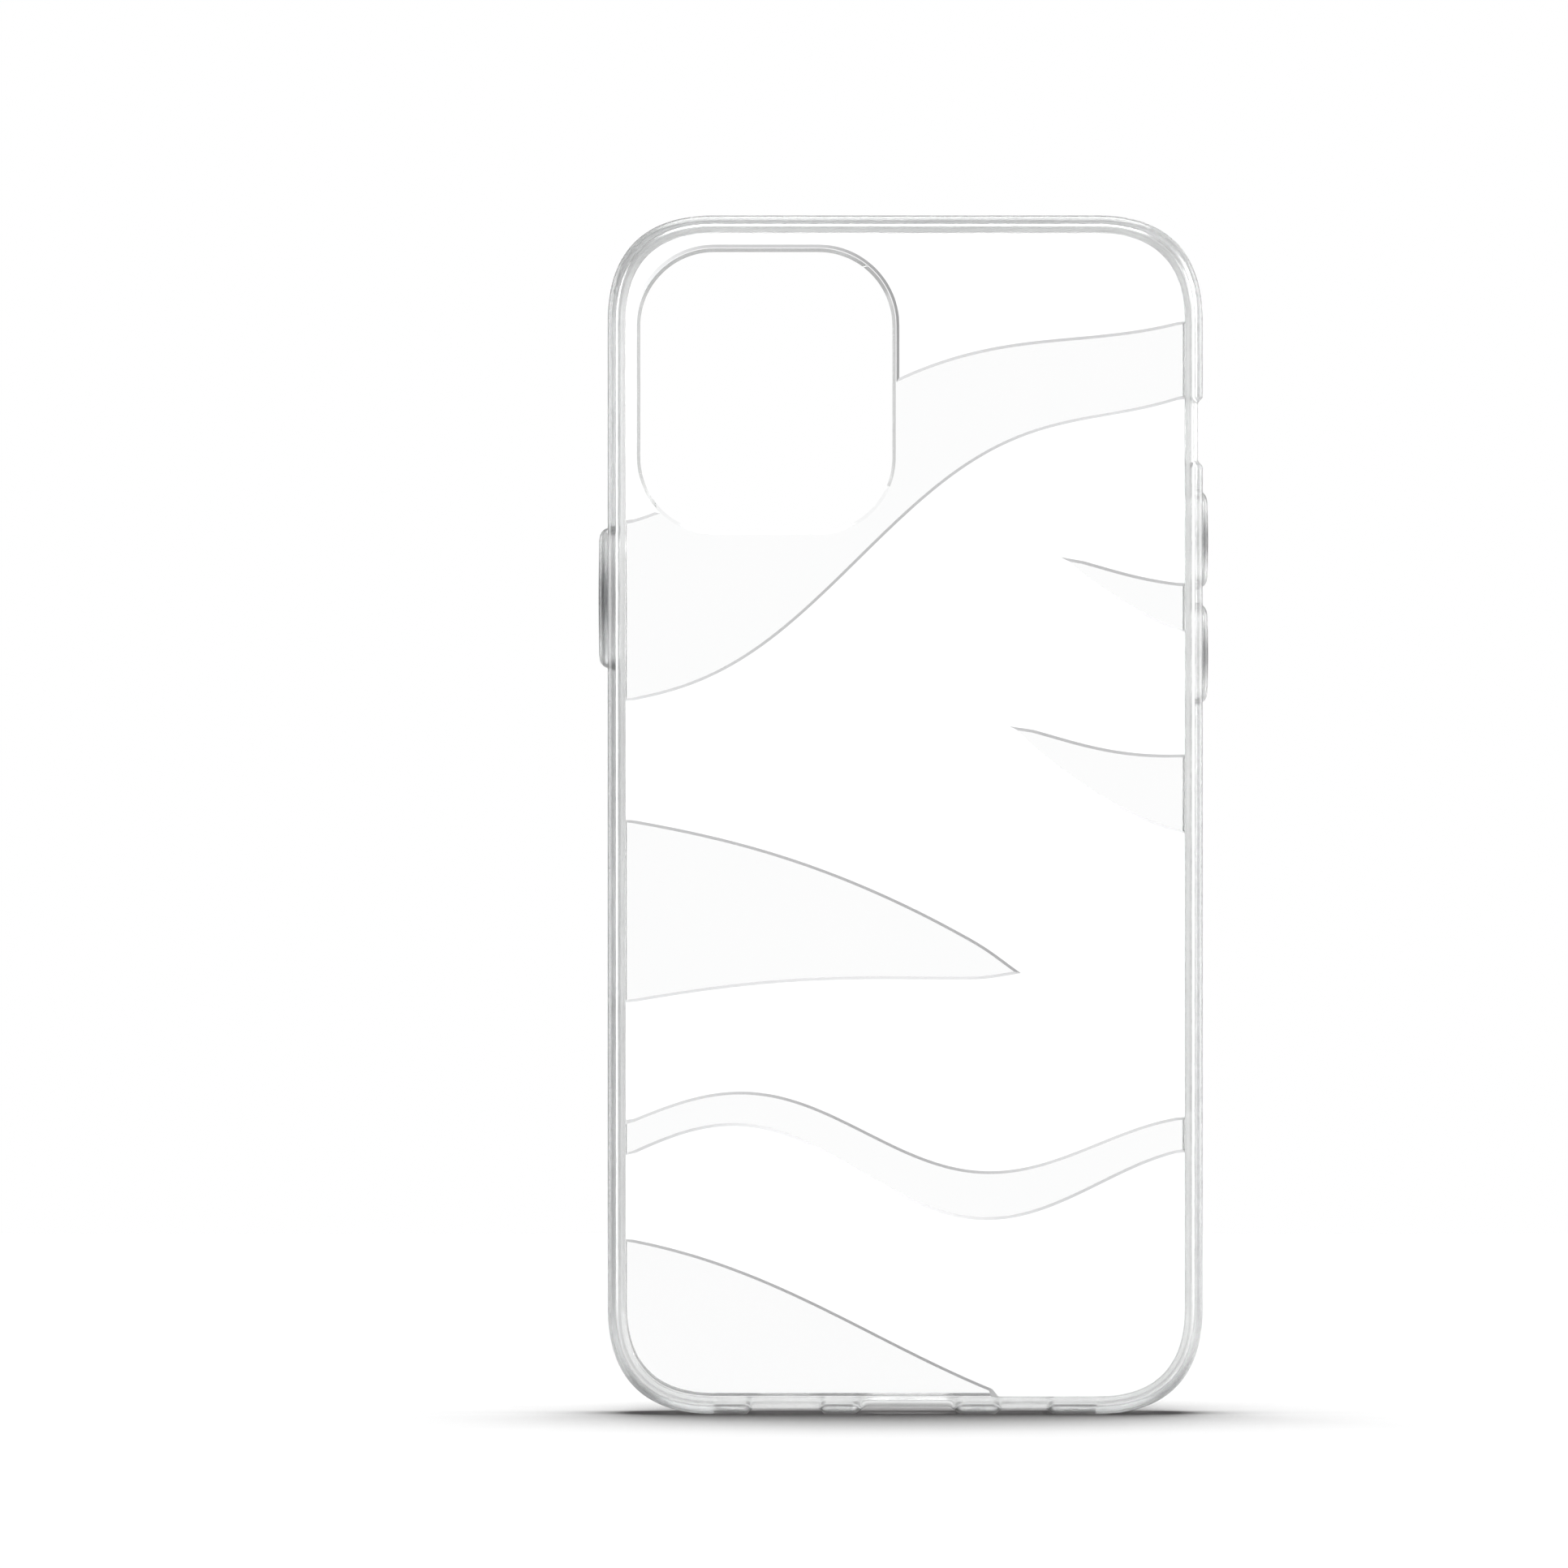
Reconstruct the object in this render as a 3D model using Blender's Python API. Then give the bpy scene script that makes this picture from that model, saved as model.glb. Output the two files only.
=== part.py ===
"""A slim clear phone case: a hard clear back plate with a printed back, in a soft clear bumper frame.

World frame: +Z runs up the case, +Y comes out of its open front, and +X is the side with the volume
buttons. The origin is the middle of the back plate's inner face, which is what the phone's back lies on.
"""
import bpy
import bmesh
from math import pi, radians, sin
from mathutils import Matrix, Vector

MM = 0.001

# The phone that the case is made for (millimetres, as is everything below)
PHONE_WIDTH = 71.5
PHONE_HEIGHT = 146.7
PHONE_THICKNESS = 7.4
PHONE_FIT = 0.1                 # free space on each side of the phone

# Depths, measured along Y from the plate's inner face
PLATE_THICKNESS = 1.2
BACK_RIM_PROUD = 0.3            # how far the bumper's back rim stands behind the plate
LIP_THICKNESS = 0.9

# The bumper frame
WALL = 1.2                      # side wall
FLANGE_WIDTH = 2.25             # from the outside of the case to the edge of the back opening
FLANGE_THICKNESS = 0.8
LIP_WIDTH = 2.3                 # from the outside of the case to the edge of the screen opening
LIP_FLARE = 0.35                # how much wider the screen opening is at the front than at the phone
LIP_OVERCUT = 0.3               # how far the opening's cutter runs past each face of the lip
BACK_EDGE_RADIUS = 1.6
FRONT_EDGE_RADIUS = 1.3
PHONE_EDGE_RADIUS = 0.7         # inside, where the phone's rounded front edge lies
PHONE_EDGE_STEPS = 3
CORNER_REACH = 13.2             # where each corner's curve starts, from the sharp corner
CORNER_PULL = 0.66              # how square the corner's curve is; 0.5523 is a circle
CORNER_STEPS = 20
CIRCLE_PULL = 0.5523
ROUND_STEPS = 7

# The joint between the plate and the bumper: the plate's thin edge laps under the flange
SEAM = 0.15                     # gap all round the plate
TONGUE_WIDTH = 1.0
TONGUE_THICKNESS = 0.55

# The camera cutout in the plate
CAMERA_CENTRE = (-17.3, 52.7)
CAMERA_WIDTH = 31.4
CAMERA_HEIGHT = 34.8
CAMERA_CORNER = 9.2
CAMERA_EDGE_RADIUS = 0.4
CAMERA_STEPS = 16

# The cutouts in the bottom wall: middle, width at the outside, width at the scoop's floor, scoop depth,
# window width and window height
CHARGING_PORT = (0.3, 13.6, 10.0, 0.95, 12.0, 5.8)
SPEAKER_PORT = (-14.9, 9.9, 8.2, 0.65, 7.6, 2.2)
MICROPHONE_PORT = (14.8, 7.4, 5.4, 0.65, 4.8, 2.2)
PORT_CORNER = 2.2
SCOOP_STEPS = 8
WINDOW_STEPS = 6                # on each corner of a window through a wall

# The mute switch cutout in the +X wall
MUTE_CENTRE = 47.7
MUTE_SCOOP_LENGTH = 8.8
MUTE_SCOOP_DEPTH = 0.6
MUTE_SCOOP_RAMP = 0.9
MUTE_WINDOW_LENGTH = 6.8
MUTE_WINDOW_HEIGHT = 4.8
MUTE_WINDOW_CORNER = 0.9

# The button pads: side (+1 is +X), middle along Z, length and how far they stand out of the wall
VOLUME_UP = (1, 34.35, 11.9, 0.8)
VOLUME_DOWN = (1, 20.1, 12.2, 0.8)
POWER = (-1, 27.05, 17.5, 1.2)
PAD_HEIGHT = 3.6
PAD_GAP = 0.3                   # between a pad and the wall around it
PAD_RECESS = 0.4                # from the inside of the wall to the pad, room for the phone's own button
PAD_EDGE_RADIUS = 0.55

# The print on the back of the plate
INK_THICKNESS = 0.1
INK_GAP = 0.03
INK_MARGIN = 0.15               # from the edge of the plate
INK_CAMERA_MARGIN = 0.5         # from the edge of the camera cutout

# The print's waves: height at the middle, slope, swing, shift and wavelength
RISING_WAVE_TOP = (51.5, 0.36, 3.0, 14.0, 70.0)         # the clear band past the camera cutout
RISING_WAVE = (35.5, 0.58, 4.0, 6.0, 62.0)              # the lower edge of that band
FALLING_WAVE = (-40.0, -0.05, 4.2, 34.0, 58.0)          # the narrow clear band across the lower half
FALLING_WAVE_BOTTOM = (4.4, 0.0, 1.0, 10.0, 70.0)       # how far below the wave above its lower edge lies
BASE_WAVE = (-66.0, -0.3, -3.0, 4.0, 90.0)              # the print's lower edge
WAVE_STEPS = 60

# The clear leaves in the print: side (+1 is +X), height and width at that side, tip and bow
LEAVES = (
    (-1, -12.0, 24.0, (13.5, -19.5), 2.5),
    (1, 2.0, 11.0, (14.0, 10.5), -2.0),
    (1, 24.5, 7.0, (20.5, 31.5), -1.0),
)
LEAF_TAPER = 0.75               # 1 narrows evenly to the tip; less keeps the leaf full for longer
LEAF_STEPS = 14

# What follows from them
POCKET_HALF_WIDTH = PHONE_WIDTH / 2 + PHONE_FIT
POCKET_HALF_HEIGHT = PHONE_HEIGHT / 2 + PHONE_FIT
OUTER_HALF_WIDTH = POCKET_HALF_WIDTH + WALL
OUTER_HALF_HEIGHT = POCKET_HALF_HEIGHT + WALL
POCKET_DEPTH = PHONE_THICKNESS + PHONE_FIT
BACK_Y = -PLATE_THICKNESS - BACK_RIM_PROUD
FRONT_Y = POCKET_DEPTH + LIP_THICKNESS
MID_Y = PHONE_THICKNESS / 2
BEYOND = 3.0                    # how far a cutter runs past the outside of what it cuts
OVERCUT = 1.0                   # the same where there is less room, inside a wall or beside the ink
TOUCHING = 0.001                # points closer than this are one point
NEARBY = 0.1                    # reach of a search round an outline
FLAT = 0.05                     # degrees; faces that turn by less are one flat face
RIM_TURN = 30                   # degrees; an edge that turns by more belongs to a rim
SHARP_TURN = 35                 # degrees; an edge that turns by more is shaded sharp

# A curve object lies in its own XY plane; these turns make its extrusion run along a world axis
TURN = {"X": (pi / 2, 0, pi / 2), "Y": (pi / 2, 0, 0), "Z": (0, 0, 0)}


def clear_scene():
    for obj in list(bpy.data.objects):
        bpy.data.objects.remove(obj, do_unlink=True)


def new_collection(name):
    collection = bpy.data.collections.new(name)
    bpy.context.scene.collection.children.link(collection)
    return collection


def plastic(name, colour, roughness, transmission=0.0):
    material = bpy.data.materials.new(name)
    material.use_nodes = True
    shader = material.node_tree.nodes["Principled BSDF"]
    shader.inputs["Base Color"].default_value = (*colour, 1.0)
    shader.inputs["Roughness"].default_value = roughness
    shader.inputs["Metallic"].default_value = 0.0
    shader.inputs["Transmission Weight"].default_value = transmission
    return material


def corner_outline(half_width, half_height, reach, pull=CIRCLE_PULL, steps=8, centre=(0.0, 0.0)):
    """A rectangle whose corners are one cubic Bezier curve each, anticlockwise."""
    points = []
    for turn, (side_x, side_y) in enumerate(((1, 1), (-1, 1), (-1, -1), (1, -1))):
        first = (0, reach)
        second = (0, reach * (1 - pull))
        third = (reach * (1 - pull), 0)
        last = (reach, 0)
        for step in range(steps + 1):
            t = step / steps if turn % 2 == 0 else 1 - step / steps
            weights = ((1 - t) ** 3, 3 * t * (1 - t) ** 2, 3 * t * t * (1 - t), t ** 3)
            handles = (first, second, third, last)
            from_side = sum(w * h[0] for w, h in zip(weights, handles))
            from_end = sum(w * h[1] for w, h in zip(weights, handles))
            points.append((centre[0] + side_x * (half_width - from_side),
                           centre[1] + side_y * (half_height - from_end)))
    return without_repeats(points)


def without_repeats(points):
    """Leaves out a point that lies on the one before it, as where two round ends meet."""
    kept = []
    for point in points:
        before = kept[-1] if kept else points[-1]
        if abs(point[0] - before[0]) + abs(point[1] - before[1]) > TOUCHING / 10:
            kept.append(point)
    return kept


def case_outline(inset):
    """The outline of the case, taken in by a distance."""
    return corner_outline(OUTER_HALF_WIDTH - inset, OUTER_HALF_HEIGHT - inset,
                          CORNER_REACH - inset, CORNER_PULL, CORNER_STEPS)


def camera_outline(grow):
    return corner_outline(CAMERA_WIDTH / 2 + grow, CAMERA_HEIGHT / 2 + grow,
                          CAMERA_CORNER + grow, CIRCLE_PULL, CAMERA_STEPS, CAMERA_CENTRE)


def prism(name, outlines, low, high, axis, collection):
    """A straight solid from flat outlines, as a mesh; an outline inside another is a hole."""
    curve = bpy.data.curves.new(name, "CURVE")
    curve.dimensions = "2D"
    curve.fill_mode = "BOTH"
    curve.extrude = (high - low) / 2 * MM
    for outline in outlines:
        spline = curve.splines.new("POLY")
        spline.points.add(len(outline) - 1)
        for point, (x, y) in zip(spline.points, outline):
            point.co = (x * MM, y * MM, 0.0, 1.0)
        spline.use_cyclic_u = True
    flat = bpy.data.objects.new(name + "_outline", curve)
    bpy.context.scene.collection.objects.link(flat)
    flat.rotation_euler = TURN[axis]
    flat.location["XYZ".index(axis)] = (low + high) / 2 * MM
    bpy.context.view_layer.update()

    evaluated = flat.evaluated_get(bpy.context.evaluated_depsgraph_get())
    mesh = bpy.data.meshes.new_from_object(evaluated)
    mesh.transform(flat.matrix_world)
    bpy.data.objects.remove(flat, do_unlink=True)

    shape = bmesh.new()
    shape.from_mesh(mesh)
    bmesh.ops.remove_doubles(shape, verts=shape.verts, dist=TOUCHING * MM)
    bmesh.ops.dissolve_limit(shape, angle_limit=radians(FLAT), verts=shape.verts, edges=shape.edges)
    bmesh.ops.recalc_face_normals(shape, faces=shape.faces)
    shape.to_mesh(mesh)
    shape.free()
    mesh.name = name
    obj = bpy.data.objects.new(name, mesh)
    collection.objects.link(obj)
    return obj


def rim_edges(shape, axis, place, within=None):
    """The sharp edges of a mesh that lie in one plane, all of them or those that within() accepts."""
    number = "XYZ".index(axis)
    found = []
    for edge in shape.edges:
        if any(abs(vert.co[number] - place * MM) > TOUCHING * MM for vert in edge.verts):
            continue
        if edge.calc_face_angle(0.0) < radians(RIM_TURN):
            continue
        if within is None or all(within(vert.co) for vert in edge.verts):
            found.append(edge)
    return found


def round_rim(obj, axis, place, radius, steps=ROUND_STEPS, within=None):
    shape = bmesh.new()
    shape.from_mesh(obj.data)
    bmesh.ops.bevel(shape, geom=rim_edges(shape, axis, place, within), offset=radius * MM,
                    offset_type="OFFSET", segments=steps, profile=0.5, affect="EDGES",
                    clamp_overlap=True)
    shape.to_mesh(obj.data)
    shape.free()


def flare_rim(obj, place, half_width, half_height, grow):
    """Moves the rim of a Y prism outwards, so that its sides slope."""
    for vert in obj.data.vertices:
        if abs(vert.co.y - place * MM) < TOUCHING * MM:
            vert.co.x *= (half_width + grow) / half_width
            vert.co.z *= (half_height + grow) / half_height


def combine(obj, other, operation="DIFFERENCE"):
    modifier = obj.modifiers.new(other.name, "BOOLEAN")
    modifier.operation = operation
    modifier.solver = "EXACT"
    modifier.object = other
    other.hide_render = True
    other.display_type = "WIRE"


def shade(obj, material):
    obj.data.materials.clear()
    obj.data.materials.append(material)
    obj.data.shade_smooth()
    obj.data.set_sharp_from_angle(angle=radians(SHARP_TURN))


def set_origin(obj, point):
    place = Vector(point) * MM
    obj.data.transform(Matrix.Translation(-place))
    obj.location = place


def make_back_plate(parts, cutters, material):
    edge_inset = FLANGE_WIDTH + SEAM
    plate = prism("back_plate", [case_outline(edge_inset - TONGUE_WIDTH), camera_outline(0.0)],
                  -PLATE_THICKNESS, 0.0, "Y", parts)

    def by_camera(point):
        return (abs(point.x / MM - CAMERA_CENTRE[0]) < CAMERA_WIDTH / 2 + NEARBY
                and abs(point.z / MM - CAMERA_CENTRE[1]) < CAMERA_HEIGHT / 2 + NEARBY)

    round_rim(plate, "Y", -PLATE_THICKNESS, CAMERA_EDGE_RADIUS, within=by_camera)
    rebate = prism("cut_plate_rebate", [case_outline(-BEYOND), case_outline(edge_inset)],
                   -PLATE_THICKNESS - BEYOND, -TONGUE_THICKNESS, "Y", cutters)
    combine(plate, rebate)
    shade(plate, material)


def scoop_outline(middle, outer_width, floor_width, depth):
    """Across a wall's outer face: a shallow dip with S-shaped ends, as (along, depth) points."""
    ramp = (outer_width - floor_width) / 2
    rise = []
    for step in range(SCOOP_STEPS + 1):
        t = step / SCOOP_STEPS
        rise.append((middle - outer_width / 2 + ramp * t, depth * t * t * (3 - 2 * t)))
    fall = [(2 * middle - along, deep) for along, deep in reversed(rise)]
    start = (middle - outer_width / 2, -BEYOND)
    end = (middle + outer_width / 2, -BEYOND)
    return [start] + rise + fall + [end]


def cut_bottom_ports(bumper, cutters):
    ports = {"charging": CHARGING_PORT, "speaker": SPEAKER_PORT, "microphone": MICROPHONE_PORT}
    for name, (middle, outer_width, floor_width, depth, width, height) in ports.items():
        dip = [(along, deep - OUTER_HALF_HEIGHT)
               for along, deep in scoop_outline(middle, outer_width, floor_width, depth)]
        scoop = prism(f"cut_{name}_scoop", [dip], BACK_Y - BEYOND, FRONT_Y + BEYOND, "Y", cutters)
        combine(bumper, scoop)
        corner = min(PORT_CORNER, height / 2)
        window = corner_outline(width / 2, height / 2, corner, steps=WINDOW_STEPS, centre=(middle, MID_Y))
        hole = prism(f"cut_{name}_window", [window], -OUTER_HALF_HEIGHT - BEYOND,
                     -POCKET_HALF_HEIGHT + OVERCUT, "Z", cutters)
        combine(bumper, hole)


def cut_mute_switch(bumper, cutters):
    dip = [(OUTER_HALF_WIDTH - deep, along)
           for along, deep in scoop_outline(MUTE_CENTRE, MUTE_SCOOP_LENGTH,
                                            MUTE_SCOOP_LENGTH - 2 * MUTE_SCOOP_RAMP, MUTE_SCOOP_DEPTH)]
    scoop = prism("cut_mute_scoop", [dip], BACK_Y - BEYOND, FRONT_Y + BEYOND, "Y", cutters)
    combine(bumper, scoop)
    window = corner_outline(MUTE_WINDOW_HEIGHT / 2, MUTE_WINDOW_LENGTH / 2, MUTE_WINDOW_CORNER,
                            steps=WINDOW_STEPS, centre=(MID_Y, MUTE_CENTRE))
    hole = prism("cut_mute_window", [window], POCKET_HALF_WIDTH - OVERCUT, OUTER_HALF_WIDTH + BEYOND,
                 "X", cutters)
    combine(bumper, hole)


def pad_outline(middle, length, grow):
    half_height = PAD_HEIGHT / 2 + grow
    return corner_outline(half_height, length / 2 + grow, half_height, steps=WINDOW_STEPS,
                          centre=(MID_Y, middle))


def cut_pad_window(bumper, cutters, name, pad):
    side, middle, length, _ = pad
    ends = sorted((side * (POCKET_HALF_WIDTH - OVERCUT), side * (OUTER_HALF_WIDTH + BEYOND)))
    hole = prism(f"cut_{name}_window", [pad_outline(middle, length, PAD_GAP)], *ends, "X", cutters)
    combine(bumper, hole)


def make_bumper_frame(parts, cutters, material, pads):
    bumper = prism("bumper_frame", [case_outline(0.0)], BACK_Y, FRONT_Y, "Y", parts)
    round_rim(bumper, "Y", BACK_Y, BACK_EDGE_RADIUS)
    round_rim(bumper, "Y", FRONT_Y, FRONT_EDGE_RADIUS)

    pocket = prism("cut_pocket", [case_outline(WALL)], BACK_Y + FLANGE_THICKNESS, POCKET_DEPTH,
                   "Y", cutters)
    round_rim(pocket, "Y", POCKET_DEPTH, PHONE_EDGE_RADIUS, steps=PHONE_EDGE_STEPS)
    combine(bumper, pocket)

    back = prism("cut_back_opening", [case_outline(FLANGE_WIDTH)], BACK_Y - BEYOND,
                 BACK_Y + FLANGE_THICKNESS + BEYOND, "Y", cutters)
    combine(bumper, back)

    slope = LIP_FLARE / LIP_THICKNESS
    inset = LIP_WIDTH + slope * LIP_OVERCUT
    low = POCKET_DEPTH - LIP_OVERCUT
    high = FRONT_Y + LIP_OVERCUT
    screen = prism("cut_screen_opening", [case_outline(inset)], low, high, "Y", cutters)
    flare_rim(screen, high, OUTER_HALF_WIDTH - inset, OUTER_HALF_HEIGHT - inset, slope * (high - low))
    combine(bumper, screen)

    cut_bottom_ports(bumper, cutters)
    cut_mute_switch(bumper, cutters)
    for name, pad in pads.items():
        cut_pad_window(bumper, cutters, name, pad)
    shade(bumper, material)


def make_pad(parts, material, name, pad):
    """A button pad; its own origin is on the line that it slides along."""
    side, middle, length, proud = pad
    inner = side * (POCKET_HALF_WIDTH + PAD_RECESS)
    outer = side * (OUTER_HALF_WIDTH + proud)
    obj = prism(name, [pad_outline(middle, length, 0.0)], *sorted((inner, outer)), "X", parts)
    round_rim(obj, "X", outer, PAD_EDGE_RADIUS)
    set_origin(obj, (outer, MID_Y, middle))
    shade(obj, material)


def wave(shape, x):
    """The height of a wavy edge at a place across the case."""
    height, slope, swing, shift, length = shape
    return height + slope * x + swing * sin(2 * pi * (x + shift) / length)


def band_outline(top, bottom):
    """The area between two edges, each a function of x, past both sides of the plate."""
    reach = OUTER_HALF_WIDTH + BEYOND
    across = [-reach + 2 * reach * step / WAVE_STEPS for step in range(WAVE_STEPS + 1)]
    lower = [(x, bottom(x)) for x in across]
    upper = [(x, top(x)) for x in reversed(across)]
    return lower + upper


def leaf_outline(side, root, root_width, tip, bow):
    """A clear tapering leaf from one side of the plate: root height and width, tip and bow."""
    start = side * (OUTER_HALF_WIDTH + BEYOND)
    upper = []
    lower = []
    for step in range(LEAF_STEPS):
        t = step / LEAF_STEPS
        x = start + (tip[0] - start) * t
        middle = root + (tip[1] - root) * t + bow * sin(pi * t)
        half = root_width / 2 * (1 - t) ** LEAF_TAPER
        upper.append((x, middle + half))
        lower.append((x, middle - half))
    return upper + [tip] + lower[::-1]


def make_print(parts, cutters, material):
    """The opaque print, three areas of flat ink parted by clear bands, with clear leaves in the big one."""
    high = -PLATE_THICKNESS - INK_GAP
    low = high - INK_THICKNESS
    areas = {
        "print_upper": (
            lambda x: OUTER_HALF_HEIGHT + BEYOND,
            lambda x: wave(RISING_WAVE_TOP, x), ()),
        "print_middle": (
            lambda x: wave(RISING_WAVE, x),
            lambda x: wave(FALLING_WAVE, x), LEAVES),
        "print_lower": (
            lambda x: wave(FALLING_WAVE, x) - wave(FALLING_WAVE_BOTTOM, x),
            lambda x: wave(BASE_WAVE, x), ()),
    }
    for name, (top, bottom, leaves) in areas.items():
        outline = case_outline(FLANGE_WIDTH + SEAM + INK_MARGIN)
        area = prism(name, [outline, camera_outline(INK_CAMERA_MARGIN)], low, high, "Y", parts)
        band = prism(f"keep_{name}", [band_outline(top, bottom)], low - OVERCUT, high + OVERCUT, "Y", cutters)
        combine(area, band, "INTERSECT")
        for number, leaf in enumerate(leaves):
            hole = prism(f"cut_{name}_leaf_{number}", [leaf_outline(*leaf)], low - OVERCUT, high + OVERCUT,
                         "Y", cutters)
            combine(area, hole)
        shade(area, material)


def main():
    clear_scene()
    parts = new_collection("phone_case")
    cutters = new_collection("cutters")
    clear_hard = plastic("clear_polycarbonate", (0.97, 0.97, 0.97), 0.05, 1.0)
    clear_soft = plastic("clear_soft_plastic", (0.95, 0.95, 0.95), 0.12, 1.0)
    white_ink = plastic("white_ink", (0.95, 0.95, 0.95), 0.45)
    pads = {"volume_up_pad": VOLUME_UP, "volume_down_pad": VOLUME_DOWN, "power_pad": POWER}

    make_back_plate(parts, cutters, clear_hard)
    make_bumper_frame(parts, cutters, clear_soft, pads)
    for name, pad in pads.items():
        make_pad(parts, clear_soft, name, pad)
    make_print(parts, cutters, white_ink)


main()
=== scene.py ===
"""The looks of a slim clear phone case with a raised white wave print.

The case stands upright with its printed back towards the camera, which looks along +Y. Lengths below are
in millimetres; Y runs from the printed back, past where the phone lies, to the open front.
"""
from math import copysign, cos, pi, radians, sin, tan

import bmesh
import bpy
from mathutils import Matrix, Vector


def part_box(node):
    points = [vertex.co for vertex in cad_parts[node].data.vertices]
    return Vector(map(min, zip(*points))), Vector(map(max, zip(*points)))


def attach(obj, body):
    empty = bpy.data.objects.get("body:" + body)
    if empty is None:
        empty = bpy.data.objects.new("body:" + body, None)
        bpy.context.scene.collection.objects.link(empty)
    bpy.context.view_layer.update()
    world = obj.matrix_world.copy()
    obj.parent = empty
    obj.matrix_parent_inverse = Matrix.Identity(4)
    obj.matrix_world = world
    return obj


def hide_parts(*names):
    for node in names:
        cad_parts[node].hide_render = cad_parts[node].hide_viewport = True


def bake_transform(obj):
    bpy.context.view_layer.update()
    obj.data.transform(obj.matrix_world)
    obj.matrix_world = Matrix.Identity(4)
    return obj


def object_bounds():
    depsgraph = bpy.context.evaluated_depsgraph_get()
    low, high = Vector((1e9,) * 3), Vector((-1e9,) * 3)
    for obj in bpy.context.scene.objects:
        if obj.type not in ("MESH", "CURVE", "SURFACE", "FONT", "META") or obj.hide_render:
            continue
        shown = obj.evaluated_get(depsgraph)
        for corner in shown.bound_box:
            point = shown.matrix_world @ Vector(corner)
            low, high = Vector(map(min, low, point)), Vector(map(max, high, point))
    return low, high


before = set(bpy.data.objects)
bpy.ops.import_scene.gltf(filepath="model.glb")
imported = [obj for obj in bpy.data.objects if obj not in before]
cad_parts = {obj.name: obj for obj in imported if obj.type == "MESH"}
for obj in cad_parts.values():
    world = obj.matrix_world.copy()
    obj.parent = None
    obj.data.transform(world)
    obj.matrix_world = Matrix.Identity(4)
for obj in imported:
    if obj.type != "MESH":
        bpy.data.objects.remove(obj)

MM = 0.001

# The camera: the case stands a little right of the picture's middle
VIEW_DISTANCE = 1500.0 * MM
VIEW_WIDTH = 195.3 * MM
VIEW_CENTRE_X = -15.1 * MM
VIEW_CENTRE_Z = 3.84 * MM
SENSOR_WIDTH = 36.0             # as Blender takes it, in millimetres
CLIP_START = 50.0 * MM
CLIP_END = 50000.0 * MM

# The case's outline, as it is built in the frame
CORNER_REACH = 13.2             # where each corner's curve starts, from the sharp corner
CORNER_PULL = 0.66              # how square the corner's curve is; 0.5523 is a circle
CIRCLE_PULL = 0.5523
CORNER_STEPS = 40
WALL_STEPS = 24
RAMP_STEPS = 10
PLACES_APART = 0.04             # places along a wall that are closer together than this are one place

# Meshes
SAME_POINT = 0.0005             # points closer together than this are one point
FLAT = radians(0.05)            # a bend smaller than this is no edge

# The bumper's section
WALL = 1.2
FLANGE_WIDTH = 2.25             # from the outside to the edge of the back opening
LIP_WIDTH = 2.3                 # from the outside to the edge of the screen opening, beside the phone
LIP_TOP_WIDTH = 1.95            # the same at the very front
LIP_THICKNESS = 0.9
BACK_EDGE_RADIUS = 1.6
FRONT_EDGE_RADIUS = 1.3
PHONE_EDGE_RADIUS = 0.7
SEAT_RADIUS = 0.5               # inside, between the wall and the face that the phone lies on
SMALL_RADIUS = 0.15
LIP_EDGE_RADIUS = 0.2

# Openings in the walls: middle, width outside, width of the dip's floor, dip depth, window width and height
CHARGING_PORT = (0.3, 13.6, 10.0, 0.95, 12.0, 5.8)
SPEAKER_PORT = (-14.9, 9.9, 8.2, 0.65, 7.6, 2.2)
MICROPHONE_PORT = (14.8, 7.4, 5.4, 0.65, 4.8, 2.2)
MUTE_SWITCH = (47.7, 8.8, 7.0, 0.6, 6.8, 4.8)
PORT_CORNER = 2.2
MUTE_CORNER = 0.9
BEYOND = 3.0                    # how far a cutter runs past the wall's outside
BEHIND = 1.0                    # how far it runs past the wall's inside

# The pads over the buttons and the thin webs around them
PAD_GAP = 0.3
PAD_DOME = 1.3                  # how far in from its edge a pad's outer face starts to fall away
PAD_DOME_RISE = 0.97            # how much of its full height it has reached there
PAD_CROWN = 0.12                # how much lower a pad's ends stand than its middle
PAD_FLAT = 0.01                 # how far below its top it still is half way from there to the middle
PAD_STEPS = 24
WEB_CLEARANCE = 0.02
WEB_AT_WALL = (0.55, 0.75)      # how deep the web lies below the wall's outside, where it meets the wall
WEB_AT_PAD = (0.25, 0.45)       # the same where it meets the pad

# The plate and the print
PLATE_EDGE_GAP = 0.02
CAMERA_CENTRE = (-17.3, 52.7)
CAMERA_SIZE = (31.4, 34.8)
CAMERA_CORNER = 9.2
CAMERA_CHAMFER = 0.4
RIM_BEND = radians(60)          # an edge of the plate that bends more than this is part of a rim
RIM_ROOM = 0.1                  # how far outside the cutout's rectangle its rim may lie
ON_THE_FACE = 0.005             # how far off a face one of its points may lie
INK_SLOPE_WIDTH = 0.36
INK_RELIEF = 0.18
INK_SPREAD = 0.02               # half the thickness of the ink's sheet before its edges are sloped
INK_EDGE_REACH = 0.68           # how far in from the flange the CAD ink's outer edge and its slope reach
OUTLINE_BEND = 1.0              # radians; the CAD ink's back face ends at edges that bend more than this
OUTLINE_SPACING = 0.03          # points of its outline that are closer together than this are one point
MITRE_LIMIT = 4.0
MITRE_ROOM = 0.15
SHARP_TURN = radians(24)        # a bend in the print's outline past this is a true corner
SHORT_SPAN = 0.25               # spans of an outline shorter than this get no more points
UNEVEN_SPANS = 6                # neither do spans beside one that many times longer or shorter

# A curve object lies in its own XY plane; these turns make its extrusion run along a world axis
TURN = {"X": (pi / 2, 0, pi / 2), "Y": (pi / 2, 0, 0), "Z": (0, 0, 0)}

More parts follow.
